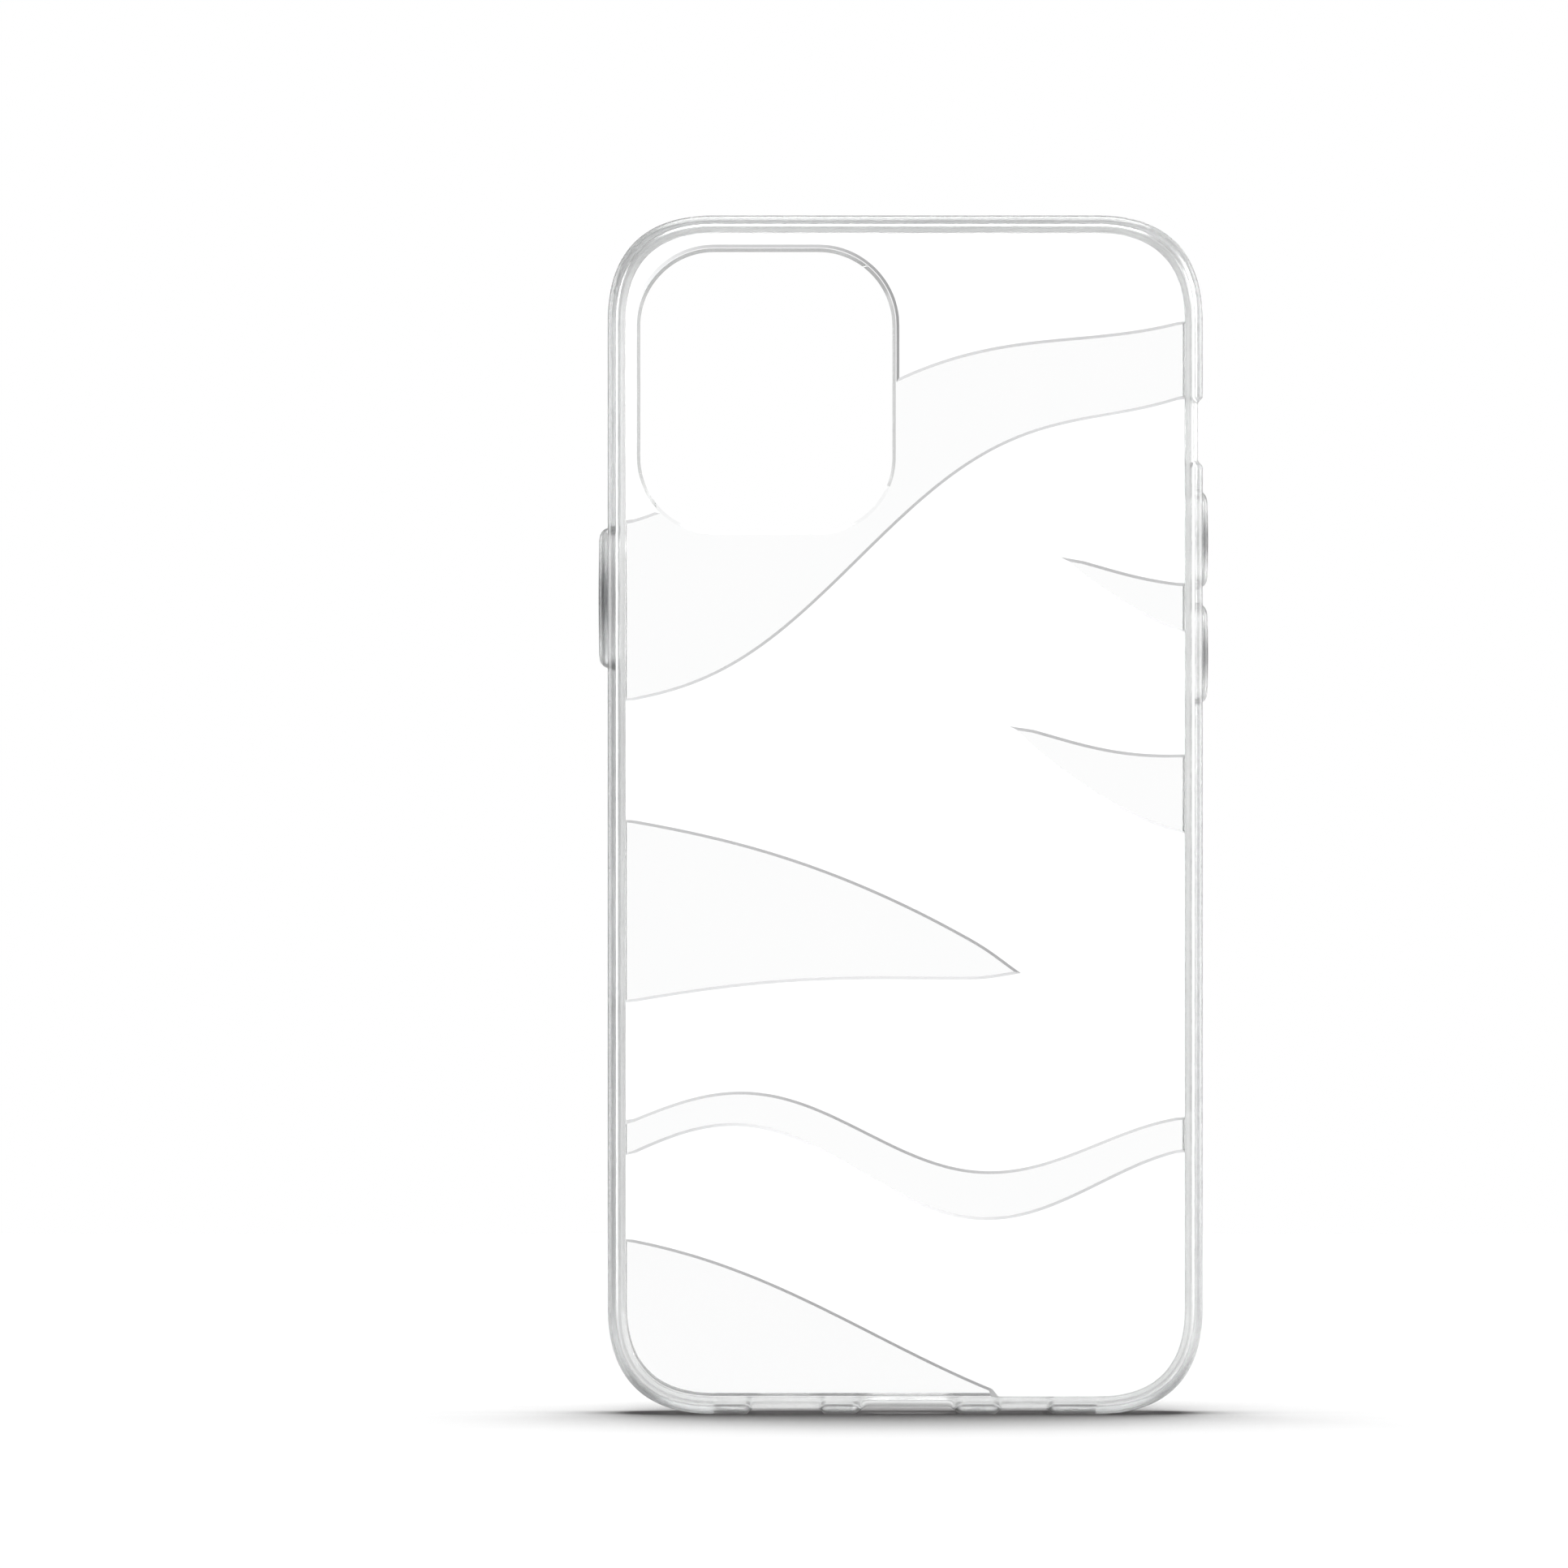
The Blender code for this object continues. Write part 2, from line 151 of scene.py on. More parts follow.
# Sizes read from the frame
bumper_low, bumper_high = (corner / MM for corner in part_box("bumper_frame"))
plate_low, plate_high = (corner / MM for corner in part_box("back_plate"))
HALF_WIDTH = bumper_high.x
HALF_HEIGHT = bumper_high.z
BACK_Y = bumper_low.y
FRONT_Y = bumper_high.y
POCKET_DEPTH = FRONT_Y - LIP_THICKNESS
PADS = {"volume_up_pad": "volume_up", "volume_down_pad": "volume_down", "power_pad": "power"}
PRINTS = ("print_upper", "print_middle", "print_lower")


# ---------------------------------------------------------------- outlines

def corner_curve(reach, pull, steps):
    """One corner, as distances from the upright side and from the level side."""
    handles = ((0, reach), (0, reach * (1 - pull)), (reach * (1 - pull), 0), (reach, 0))
    curve = []
    for step in range(steps + 1):
        t = step / steps
        weights = ((1 - t) ** 3, 3 * t * (1 - t) ** 2, 3 * t * t * (1 - t), t ** 3)
        curve.append(tuple(sum(w * h[axis] for w, h in zip(weights, handles)) for axis in (0, 1)))
    return curve


def rounded_rectangle(half_width, half_height, reach, pull=CIRCLE_PULL, steps=8, centre=(0.0, 0.0)):
    """A rectangle with curved corners, anticlockwise."""
    points = []
    for turn, (side_x, side_y) in enumerate(((1, 1), (-1, 1), (-1, -1), (1, -1))):
        curve = corner_curve(reach, pull, steps)
        for from_side, from_end in (curve if turn % 2 == 0 else curve[::-1]):
            points.append(Vector((centre[0] + side_x * (half_width - from_side),
                                  centre[1] + side_y * (half_height - from_end))))
    return without_repeats(points, 0.001)


def without_repeats(points, distance):
    """Leaves out each point that lies closer than a distance to the one before it."""
    kept = []
    for point in points:
        if (point - (kept[-1] if kept else points[-1])).length > distance:
            kept.append(point)
    return kept


def case_outline(inset):
    return rounded_rectangle(HALF_WIDTH - inset, HALF_HEIGHT - inset, CORNER_REACH - inset, CORNER_PULL,
                             CORNER_STEPS)


def arc(centre, radius, start, end, steps):
    """Points on an arc in a section, from one angle to another in degrees."""
    angles = [radians(start + (end - start) * step / steps) for step in range(steps + 1)]
    return [(centre[0] + radius * cos(angle), centre[1] + radius * sin(angle)) for angle in angles]


# ---------------------------------------------------------------- meshes

def new_piece(name, mesh):
    piece = bpy.data.objects.new(name, mesh)
    bpy.context.scene.collection.objects.link(piece)
    return piece


def prism(name, outlines, low, high, axis, bevel=0.0, squash=1.0):
    """A straight solid from flat outlines; one inside another is a hole. Its edges may be sloped."""
    curve = bpy.data.curves.new(name, "CURVE")
    curve.dimensions = "2D"
    curve.fill_mode = "BOTH"
    curve.extrude = (high - low) / 2 * MM
    if bevel:
        curve.bevel_depth = bevel * MM
        curve.bevel_resolution = 0
        curve.offset = -bevel * MM
    for outline in outlines:
        spline = curve.splines.new("POLY")
        spline.points.add(len(outline) - 1)
        for point, (x, y) in zip(spline.points, outline):
            point.co = (x * MM, y * MM, 0.0, 1.0)
        spline.use_cyclic_u = True
    flat = new_piece(name + "_outline", curve)
    flat.rotation_euler = TURN[axis]
    flat.scale.z = squash
    flat.location["XYZ".index(axis)] = (low + high) / 2 * MM
    bpy.context.view_layer.update()
    evaluated = flat.evaluated_get(bpy.context.evaluated_depsgraph_get())
    mesh = bpy.data.meshes.new_from_object(evaluated)
    mesh.transform(flat.matrix_world)
    bpy.data.objects.remove(flat, do_unlink=True)
    shape = bmesh.new()
    shape.from_mesh(mesh)
    bmesh.ops.remove_doubles(shape, verts=shape.verts, dist=SAME_POINT * MM)
    bmesh.ops.dissolve_limit(shape, angle_limit=FLAT, verts=shape.verts, edges=shape.edges)
    bmesh.ops.recalc_face_normals(shape, faces=shape.faces)
    shape.to_mesh(mesh)
    shape.free()
    return mesh


def loft(name, rings, close_loft=False):
    """A skin over rings with the same number of points, in millimetres."""
    shape = bmesh.new()
    rows = [[shape.verts.new(Vector(point) * MM) for point in ring] for ring in rings]
    pairs = list(zip(rows, rows[1:]))
    if close_loft:
        pairs.append((rows[-1], rows[0]))
    for row, following in pairs:
        for index in range(len(row)):
            after = (index + 1) % len(row)
            shape.faces.new((row[index], row[after], following[after], following[index]))
    bmesh.ops.remove_doubles(shape, verts=shape.verts, dist=SAME_POINT * MM)
    open_edges = [edge for edge in shape.edges if edge.is_boundary]
    if open_edges:
        bmesh.ops.holes_fill(shape, edges=open_edges)
    bmesh.ops.recalc_face_normals(shape, faces=shape.faces)
    mesh = bpy.data.meshes.new(name)
    shape.to_mesh(mesh)
    shape.free()
    return mesh


def finish_piece(piece, material, sharp=40):
    """Smooth shading that keeps flat faces flat."""
    mesh = piece.data
    mesh.materials.clear()
    mesh.materials.append(material)
    mesh.shade_smooth()
    mesh.set_sharp_from_angle(angle=radians(sharp))
    weighted = piece.modifiers.new("flat faces stay flat", "WEIGHTED_NORMAL")
    weighted.keep_sharp = True
    weighted.weight = 50
    return piece


# ---------------------------------------------------------------- the bumper

def dip_depth(along, dips):
    """How far a wall's outside is sunk at a place along it, with S-shaped ends to each dip."""
    deepest = 0.0
    for middle, outer_width, floor_width, depth, *_ in dips:
        ramp = (outer_width - floor_width) / 2
        t = min(max((outer_width / 2 - abs(along - middle)) / ramp, 0.0), 1.0)
        deepest = max(deepest, depth * t * t * (3 - 2 * t))
    return deepest


def wall_places(reach, dips):
    """Places along a straight wall, close together where its outside dips."""
    places = [reach * (2 * step / WALL_STEPS - 1) for step in range(WALL_STEPS + 1)]
    for middle, outer_width, floor_width, *_ in dips:
        for step in range(RAMP_STEPS + 1):
            off = floor_width / 2 + (outer_width - floor_width) / 2 * step / RAMP_STEPS
            places += [middle - off, middle + off]
    places.sort()
    return places[:1] + [place for before, place in zip(places, places[1:]) if place - before > PLACES_APART]


def rim_stations():
    """Round the case, anticlockwise: a point on the outside, which way is in, and the dip there."""
    stations = []
    bottom = (CHARGING_PORT, SPEAKER_PORT, MICROPHONE_PORT)
    walls = (("x", 1, (MUTE_SWITCH,)), ("z", 1, ()), ("x", -1, ()), ("z", -1, bottom))
    corners = ((1, 1), (-1, 1), (-1, -1), (1, -1))
    for turn, ((across, side, dips), (side_x, side_z)) in enumerate(zip(walls, corners)):
        if across == "x":
            places = wall_places(HALF_HEIGHT - CORNER_REACH, dips)
            for z in (places if side > 0 else reversed(places)):
                stations.append((side * HALF_WIDTH, z, -side, 0, dip_depth(z, dips)))
        else:
            places = wall_places(HALF_WIDTH - CORNER_REACH, dips)
            for x in (places if side < 0 else reversed(places)):
                stations.append((x, side * HALF_HEIGHT, 0, -side, dip_depth(x, dips)))
        curve = corner_curve(1.0, CORNER_PULL, CORNER_STEPS)[1:-1]
        for s, e in (curve if turn % 2 == 0 else curve[::-1]):
            stations.append((side_x * (HALF_WIDTH - CORNER_REACH * s),
                             side_z * (HALF_HEIGHT - CORNER_REACH * e),
                             -side_x * (1 - s), -side_z * (1 - e), 0.0))
    return stations


def bumper_section():
    """The bumper's section as (distance in from the outside, y), outside part and inside part."""
    outside = arc((FLANGE_WIDTH - SMALL_RADIUS, BACK_Y + SMALL_RADIUS), SMALL_RADIUS, 0, -90, 4)
    outside += arc((BACK_EDGE_RADIUS, BACK_Y + BACK_EDGE_RADIUS), BACK_EDGE_RADIUS, -90, -180, 14)
    outside += arc((FRONT_EDGE_RADIUS, FRONT_Y - FRONT_EDGE_RADIUS), FRONT_EDGE_RADIUS, 180, 90, 12)
    outside += arc((LIP_TOP_WIDTH - LIP_EDGE_RADIUS, FRONT_Y - LIP_EDGE_RADIUS), LIP_EDGE_RADIUS, 90, 0, 4)
    inside = arc((LIP_WIDTH - SMALL_RADIUS, POCKET_DEPTH + SMALL_RADIUS), SMALL_RADIUS, 0, -90, 4)
    inside += arc((WALL + PHONE_EDGE_RADIUS, POCKET_DEPTH - PHONE_EDGE_RADIUS), PHONE_EDGE_RADIUS, 90, 180, 6)
    inside += arc((WALL + SEAT_RADIUS, SEAT_RADIUS), SEAT_RADIUS, 180, 270, 10)
    inside += [(FLANGE_WIDTH, 0.0)]
    return outside, inside


def sunk(inset, y, dip):
    """Where a point of the section's outside moves to in a dip; the edges of both openings stay."""
    limit = FLANGE_WIDTH if y < POCKET_DEPTH / 2 else LIP_TOP_WIDTH
    return dip + inset * (1 - dip / limit)


def window_cutters():
    """One mesh with the solids that cut all the windows through the walls."""
    shape = bmesh.new()
    middle_y = (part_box("power_pad")[0].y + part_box("power_pad")[1].y) / 2 / MM
    for middle, _, _, _, width, height in (CHARGING_PORT, SPEAKER_PORT, MICROPHONE_PORT):
        outline = rounded_rectangle(width / 2, height / 2, min(PORT_CORNER, height / 2),
                                    centre=(middle, middle_y))
        shape.from_mesh(prism("port", [outline], -HALF_HEIGHT - BEYOND, WALL + BEHIND - HALF_HEIGHT, "Z"))
    middle, _, _, _, width, height = MUTE_SWITCH
    outline = rounded_rectangle(height / 2, width / 2, MUTE_CORNER, centre=(middle_y, middle))
    shape.from_mesh(prism("mute", [outline], HALF_WIDTH - WALL - BEHIND, HALF_WIDTH + BEYOND, "X"))
    for node in PADS:
        low, high = (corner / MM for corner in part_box(node))
        side = 1 if high.x > 0 else -1
        half_height = (high.y - low.y) / 2 + PAD_GAP
        outline = rounded_rectangle(half_height, (high.z - low.z) / 2 + PAD_GAP, half_height,
                                    centre=(middle_y, (low.z + high.z) / 2))
        ends = sorted((side * (HALF_WIDTH - WALL - BEHIND), side * (HALF_WIDTH + BEYOND)))
        shape.from_mesh(prism("pad", [outline], *ends, "X"))
    mesh = bpy.data.meshes.new("window_cutters")
    shape.to_mesh(mesh)
    shape.free()
    return mesh


def make_bumper(material):
    outside, inside = bumper_section()
    rings = []
    for x, z, in_x, in_z, dip in rim_stations():
        section = [(sunk(inset, y, dip), y) for inset, y in outside] + inside
        rings.append([(x + in_x * inset, y, z + in_z * inset) for inset, y in section])
    piece = new_piece("bumper", loft("bumper", rings, close_loft=True))

    cut_face = bpy.data.materials.new("cut face")
    piece.data.materials.append(material)
    cutter = new_piece("window_cutters", window_cutters())
    cutter.data.materials.append(cut_face)
    boolean = piece.modifiers.new("windows", "BOOLEAN")
    boolean.operation = "DIFFERENCE"
    boolean.solver = "EXACT"
    boolean.material_mode = "TRANSFER"
    boolean.object = cutter
    evaluated = piece.evaluated_get(bpy.context.evaluated_depsgraph_get())
    mesh = bpy.data.meshes.new_from_object(evaluated)
    piece.modifiers.clear()
    bpy.data.objects.remove(cutter, do_unlink=True)

    shape = bmesh.new()
    shape.from_mesh(mesh)
    rims = [edge for edge in shape.edges if len(edge.link_faces) == 2
            and edge.link_faces[0].material_index != edge.link_faces[1].material_index]
    bmesh.ops.bevel(shape, geom=rims, offset=SMALL_RADIUS * MM, offset_type="OFFSET", segments=3, profile=0.5,
                    affect="EDGES", clamp_overlap=True)
    for face in shape.faces:
        face.material_index = 0
    shape.to_mesh(mesh)
    shape.free()
    piece.data = mesh
    finish_piece(piece, material)
    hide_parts("bumper_frame")
    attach(piece, "case")


# ---------------------------------------------------------------- the pads

def stadium(half_height, half_length, grow, middle_y, middle_z):
    """A long outline with round ends, as (y, z), with places along its straight sides too."""
    radius = half_height + grow
    straight = half_length - half_height
    points = [(radius, straight * (2 * step / PAD_STEPS - 1)) for step in range(PAD_STEPS)]
    points += [(y, z + straight) for y, z in arc((0, 0), radius, 0, 180, PAD_STEPS)[:-1]]
    points += [(-y, -z) for y, z in points]
    return [(middle_y + y, middle_z + z) for y, z in points]


def pad_size(node):
    low, high = (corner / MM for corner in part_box(node))
    side = 1 if high.x > 0 else -1
    inner, outer = (low.x, high.x) if side > 0 else (high.x, low.x)
    return side, abs(inner), abs(outer), (high.y - low.y) / 2, (high.z - low.z) / 2, (low + high) / 2


def make_pad(node, body, material):
    """A pillow-shaped pad: its outer face falls away to its edge all round."""
    side, inner, outer, half_height, half_length, middle = pad_size(node)
    skirt = HALF_WIDTH - SMALL_RADIUS
    levels = [(SMALL_RADIUS, inner), (0.0, inner + SMALL_RADIUS), (0.0, skirt)]
    rise = outer - skirt
    for inset, height in arc((PAD_DOME, 0.0), PAD_DOME, 180, 90, 12)[1:]:
        levels.append((inset, skirt + rise * (height / PAD_DOME) * PAD_DOME_RISE))
    levels += [((PAD_DOME + half_height) / 2, outer - PAD_FLAT), (half_height, outer)]
    rings = [[(side * inner, middle.y, z) for _, z in stadium(half_height, half_length, -half_height,
                                                              middle.y, middle.z)]]
    for inset, x in levels:
        ring = []
        for y, z in stadium(half_height, half_length, -inset, middle.y, middle.z):
            fall = PAD_CROWN * ((z - middle.z) / half_length) ** 2 * max(x - skirt, 0.0) / rise
            ring.append((side * (x - fall), y, z))
        rings.append(ring)
    piece = new_piece(node + "_cap", loft(node + "_cap", rings))
    finish_piece(piece, material)
    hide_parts(node)
    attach(piece, body)


def make_web(node, material):
    """The thin sloping web that joins a pad to the wall around it and flexes when the pad is pressed."""
    side, _, _, half_height, half_length, middle = pad_size(node)
    corners = [(PAD_GAP - WEB_CLEARANCE, HALF_WIDTH - depth) for depth in WEB_AT_WALL]
    corners += [(WEB_CLEARANCE, HALF_WIDTH - depth) for depth in reversed(WEB_AT_PAD)]
    rings = [[(side * x, y, z) for y, z in stadium(half_height, half_length, grow, middle.y, middle.z)]
             for grow, x in corners]
    piece = new_piece(node + "_web", loft(node + "_web", rings, close_loft=True))
    finish_piece(piece, material)
    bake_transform(piece)


# ---------------------------------------------------------------- the plate and the print

def make_plate(material):
    camera = rounded_rectangle(CAMERA_SIZE[0] / 2, CAMERA_SIZE[1] / 2, CAMERA_CORNER, steps=24,
                               centre=CAMERA_CENTRE)
    edge_of_plate = case_outline(FLANGE_WIDTH + PLATE_EDGE_GAP)
    mesh = prism("plate", [edge_of_plate, camera], plate_low.y, plate_high.y, "Y")
    shape = bmesh.new()
    shape.from_mesh(mesh)

    def rim(y):
        return [edge for edge in shape.edges if edge.calc_face_angle(0.0) > RIM_BEND
                and all(abs(vert.co.y / MM - y) < ON_THE_FACE
                        and abs(vert.co.x / MM - CAMERA_CENTRE[0]) < CAMERA_SIZE[0] / 2 + RIM_ROOM
                        and abs(vert.co.z / MM - CAMERA_CENTRE[1]) < CAMERA_SIZE[1] / 2 + RIM_ROOM
                        for vert in edge.verts)]

    bmesh.ops.bevel(shape, geom=rim(plate_low.y), offset=CAMERA_CHAMFER * MM, offset_type="OFFSET",
                    segments=1, affect="EDGES")
    bmesh.ops.bevel(shape, geom=rim(plate_high.y), offset=SMALL_RADIUS * MM, offset_type="OFFSET",
                    segments=3, profile=0.5, affect="EDGES")
    shape.to_mesh(mesh)
    shape.free()
    piece = new_piece("plate", mesh)
    finish_piece(piece, material)
    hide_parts("back_plate")
    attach(piece, "case")


def outlines_of(node):
    """The loops round the back face of a flat CAD node, as (x, z) points."""
    shape = bmesh.new()
    shape.from_mesh(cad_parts[node].data)
    bmesh.ops.remove_doubles(shape, verts=shape.verts, dist=SAME_POINT * MM)
    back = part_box(node)[0].y
    beyond = {}
    for edge in shape.edges:
        if (all(abs(vert.co.y - back) < ON_THE_FACE * MM for vert in edge.verts)
                and edge.calc_face_angle(0.0) > OUTLINE_BEND):
            first, second = edge.verts
            beyond.setdefault(first, []).append(second)
            beyond.setdefault(second, []).append(first)
    loops = []
    while beyond:
        start = min(beyond, key=lambda vert: vert.index)
        loop = [start]
        before, here = start, beyond[start][0]
        while here is not start:
            loop.append(here)
            ahead = [vert for vert in beyond[here] if vert is not before]
            before, here = here, ahead[0]
        for vert in loop:
            del beyond[vert]
        loops.append(without_repeats([vert.co.xz / MM for vert in loop], OUTLINE_SPACING))
    shape.free()
    return loops


def turn_at(before, here, after):
    first = here - before
    second = after - here
    return abs(first.angle_signed(second, 0.0))


def smoothed(loop, steps=4):
    """The same outline with more points on its curves, through the points that it has."""
    count = len(loop)
    corner = [turn_at(loop[i - 1], loop[i], loop[(i + 1) % count]) > SHARP_TURN for i in range(count)]
    fine = []
    for i in range(count):
        here, after = loop[i], loop[(i + 1) % count]
        before = here * 2 - after if corner[i] else loop[i - 1]
        beyond = after * 2 - here if corner[(i + 1) % count] else loop[(i + 2) % count]
        span = (after - here).length
        lead = (here - before).length
        trail = (beyond - after).length
        if (span < SHORT_SPAN or max(lead, trail) > UNEVEN_SPANS * span
                or min(lead, trail) < span / UNEVEN_SPANS):
            fine.append(here)
            continue
        for step in range(steps):
            t = step / steps
            fine.append(0.5 * (2 * here + (after - before) * t
                               + (2 * before - 5 * here + 4 * after - beyond) * t * t
                               + (3 * here - before - 3 * after + beyond) * t * t * t))
    return fine


def mitred(loop):
    """Leaves out points so close to a true corner that the slope's mitre would fold over them."""
    count = len(loop)
    corners = []
    for i in range(count):
        turn = turn_at(loop[i - 1], loop[i], loop[(i + 1) % count])
        if turn > SHARP_TURN:
            corners.append((loop[i], INK_SLOPE_WIDTH * min(tan(turn / 2), MITRE_LIMIT) + MITRE_ROOM))
    return [point for point in loop if any(point is corner for corner, _ in corners)
            or all((point - corner).length > room for corner, room in corners)]


def corner_reach(across, up):
    """How far out a point of a corner lies, measured as the reach of the corner's curve through it."""
    curve = [Vector((1 - side, 1 - end)) for side, end in corner_curve(1.0, CORNER_PULL, CORNER_STEPS)]
    point = Vector((across, up))
    nearest = min(curve, key=lambda place: place.angle(point))
    return point.length / nearest.length


def run_to_flange(mesh):
    """The ink has no slope where it meets the bumper: its outer edge runs right up to the flange."""
    straight = Vector((HALF_WIDTH - CORNER_REACH, HALF_HEIGHT - CORNER_REACH))
    wanted = CORNER_REACH - FLANGE_WIDTH - PLATE_EDGE_GAP
    for vert in mesh.vertices:
        across = abs(vert.co.x) / MM - straight.x
        up = abs(vert.co.z) / MM - straight.y
        if across > 0 and up > 0:
            reach = corner_reach(across, up)
        else:
            reach = max(across, up)
        if reach < wanted - INK_EDGE_REACH:
            continue
        grow = wanted / reach
        if across > 0:
            vert.co.x = copysign((straight.x + across * grow) * MM, vert.co.x)
        if up > 0:
            vert.co.z = copysign((straight.y + up * grow) * MM, vert.co.z)


def make_print(node, material):
    """One area of ink with sloping edges, standing a little way off the plate."""
    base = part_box(node)[1].y / MM
    slope = INK_RELIEF / INK_SLOPE_WIDTH
    loops = [mitred(smoothed(loop)) for loop in outlines_of(node)]
    mesh = prism(node + "_ink", loops, base - INK_SPREAD, base + INK_SPREAD, "Y", bevel=INK_SLOPE_WIDTH,
                 squash=slope)
    for vert in mesh.vertices:
        vert.co.y = min(vert.co.y, base * MM)
    run_to_flange(mesh)
    piece = new_piece(node + "_ink", mesh)
    finish_piece(piece, material, sharp=20)
    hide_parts(node)
    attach(piece, "case")


# ---------------------------------------------------------------- materials

# Each noise is its scale, in cycles a metre, and its detail
NOISE_SPREAD = (0.3, 0.7)       # nearly all of a noise's values lie between these

SOFT_COLOURS = ((0.93, 0.935, 0.935), (0.97, 0.972, 0.97))
SOFT_CLOUDS = (90.0, 3.0)
SOFT_CLOUD_SPREAD = (0.35, 0.65)
SOFT_ROUGHNESS = (0.15, 0.22)
SOFT_GRAIN = (2400.0, 2.0)
SOFT_GRAIN_HEIGHT = 0.0001 * MM
SOFT_WAVES = (260.0, 1.0)
SOFT_WAVE_HEIGHT = 0.001 * MM
SOFT_THROUGH = 0.90             # the share of the light that goes through; the rest is a milky haze
SOFT_IOR = 1.49
SOFT_DEPTH_COLOUR = (0.90, 0.905, 0.905, 1.0)
SOFT_DENSITY = 320.0
# Painted shade on the pads: a darker colour half way along each pad, fading towards its ends
PAD_PAINTED_SHADE = (0.30, 0.30, 0.305)
PAD_PAINTED_SHADE_REACH = 0.9           # of a pad's half length

HARD_COLOURS = ((0.975, 0.98, 0.98), (0.99, 0.99, 0.99))
HARD_HAZE = (45.0, 2.0)
HARD_ROUGHNESS = (0.015, 0.09)
HARD_IOR = 1.585
HAIRS = ((1.0, 1.0, 0.04), (0.0, 0.5, 0.0), 1800.0, 1.0)            # stretch, turn and noise
CROSSING_HAIRS = ((1.0, 1.0, 0.03), (0.0, -0.8, 0.0), 1500.0, 1.0)
HAIR_SPREAD = (0.72, 0.85)      # only the highest of the noise shows as hairlines
HAIR_HEIGHT = 0.001 * MM

INK_COLOURS = ((0.90, 0.905, 0.91), (0.94, 0.94, 0.935))
INK_CLOUDS = (120.0, 3.0)
INK_ROUGHNESS = (0.36, 0.52)
INK_DROPS = (5200.0, 2.0)
INK_PASSES = (1300.0, 1.0)
PASS_STRETCH = (0.05, 1.0, 1.0)
INK_GRAIN_HEIGHT = 0.006 * MM
# Painted shade on the ink's sloping edges
INK_SLOPE_PAINTED_SHADE = (0.62, 0.62, 0.625)
INK_FACING = (0.92, 0.98)       # how squarely a face looks out, from all slope to all flat


def new_material(name):
    material = bpy.data.materials.new(name)
    material.use_nodes = True
    tree = material.node_tree
    return material, tree, tree.nodes["Principled BSDF"]


def add_node(tree, kind, **values):
    """A node with its settings and unlinked inputs; an input's name has _ for each space."""
    node = tree.nodes.new(kind)
    for name, value in values.items():
        title = name.replace("_", " ").title()
        if title in node.inputs:
            node.inputs[title].default_value = value
        else:
            setattr(node, name, value)
    return node


def noise(tree, place, scale, detail):
    node = add_node(tree, "ShaderNodeTexNoise", scale=scale, detail=detail)
    tree.links.new(place, node.inputs["Vector"])
    return node.outputs["Fac"]


def ranged(tree, value, from_min, from_max, to_min, to_max, curve="LINEAR"):
    node = add_node(tree, "ShaderNodeMapRange", interpolation_type=curve, from_min=from_min,
                    from_max=from_max, to_min=to_min, to_max=to_max)
    tree.links.new(value, node.inputs["Value"])
    return node.outputs["Result"]


def maths(tree, operation, *values):
    """A sum on numbers and other nodes' outputs."""
    node = add_node(tree, "ShaderNodeMath", operation=operation)
    for socket, value in zip(node.inputs, values):
        if isinstance(value, (int, float)):
            socket.default_value = value
        else:
            tree.links.new(value, socket)
    return node.outputs[0]


def part_along(tree, vector, axis):
    node = tree.nodes.new("ShaderNodeSeparateXYZ")
    tree.links.new(vector, node.inputs[0])
    return node.outputs[axis]


def two_colours(tree, value, first, second):
    """From the first colour to the second; each is three numbers or another node's output."""
    node = tree.nodes.new("ShaderNodeMix")
    node.data_type = "RGBA"
    for name, colour in (("A", first), ("B", second)):
        if isinstance(colour, tuple):
            node.inputs[name].default_value = (*colour, 1.0)
        else:
            tree.links.new(colour, node.inputs[name])
    tree.links.new(value, node.inputs["Factor"])
    return node.outputs["Result"]


def bumped(tree, height, distance, under=None):
    node = add_node(tree, "ShaderNodeBump", distance=distance, strength=1.0)
    tree.links.new(height, node.inputs["Height"])
    if under:
        tree.links.new(under, node.inputs["Normal"])
    return node.outputs["Normal"]


def stretched(tree, place, scale, turn=(0.0, 0.0, 0.0)):
    node = add_node(tree, "ShaderNodeMapping", scale=scale, rotation=turn)
    tree.links.new(place, node.inputs["Vector"])
    return node.outputs["Vector"]


def painted_shade_in_the_middle(tree, place, colour, pad):
    """Painted shade: a pad's colour is darkest half way along it and fades out towards its ends."""
    low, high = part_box(pad)
    off = maths(tree, "ABSOLUTE", maths(tree, "SUBTRACT", part_along(tree, place, "Z"), (low.z + high.z) / 2))
    reach = (high.z - low.z) / 2 * PAD_PAINTED_SHADE_REACH
    return two_colours(tree, ranged(tree, off, 0.0, reach, 0.0, 1.0, "SMOOTHSTEP"), PAD_PAINTED_SHADE, colour)


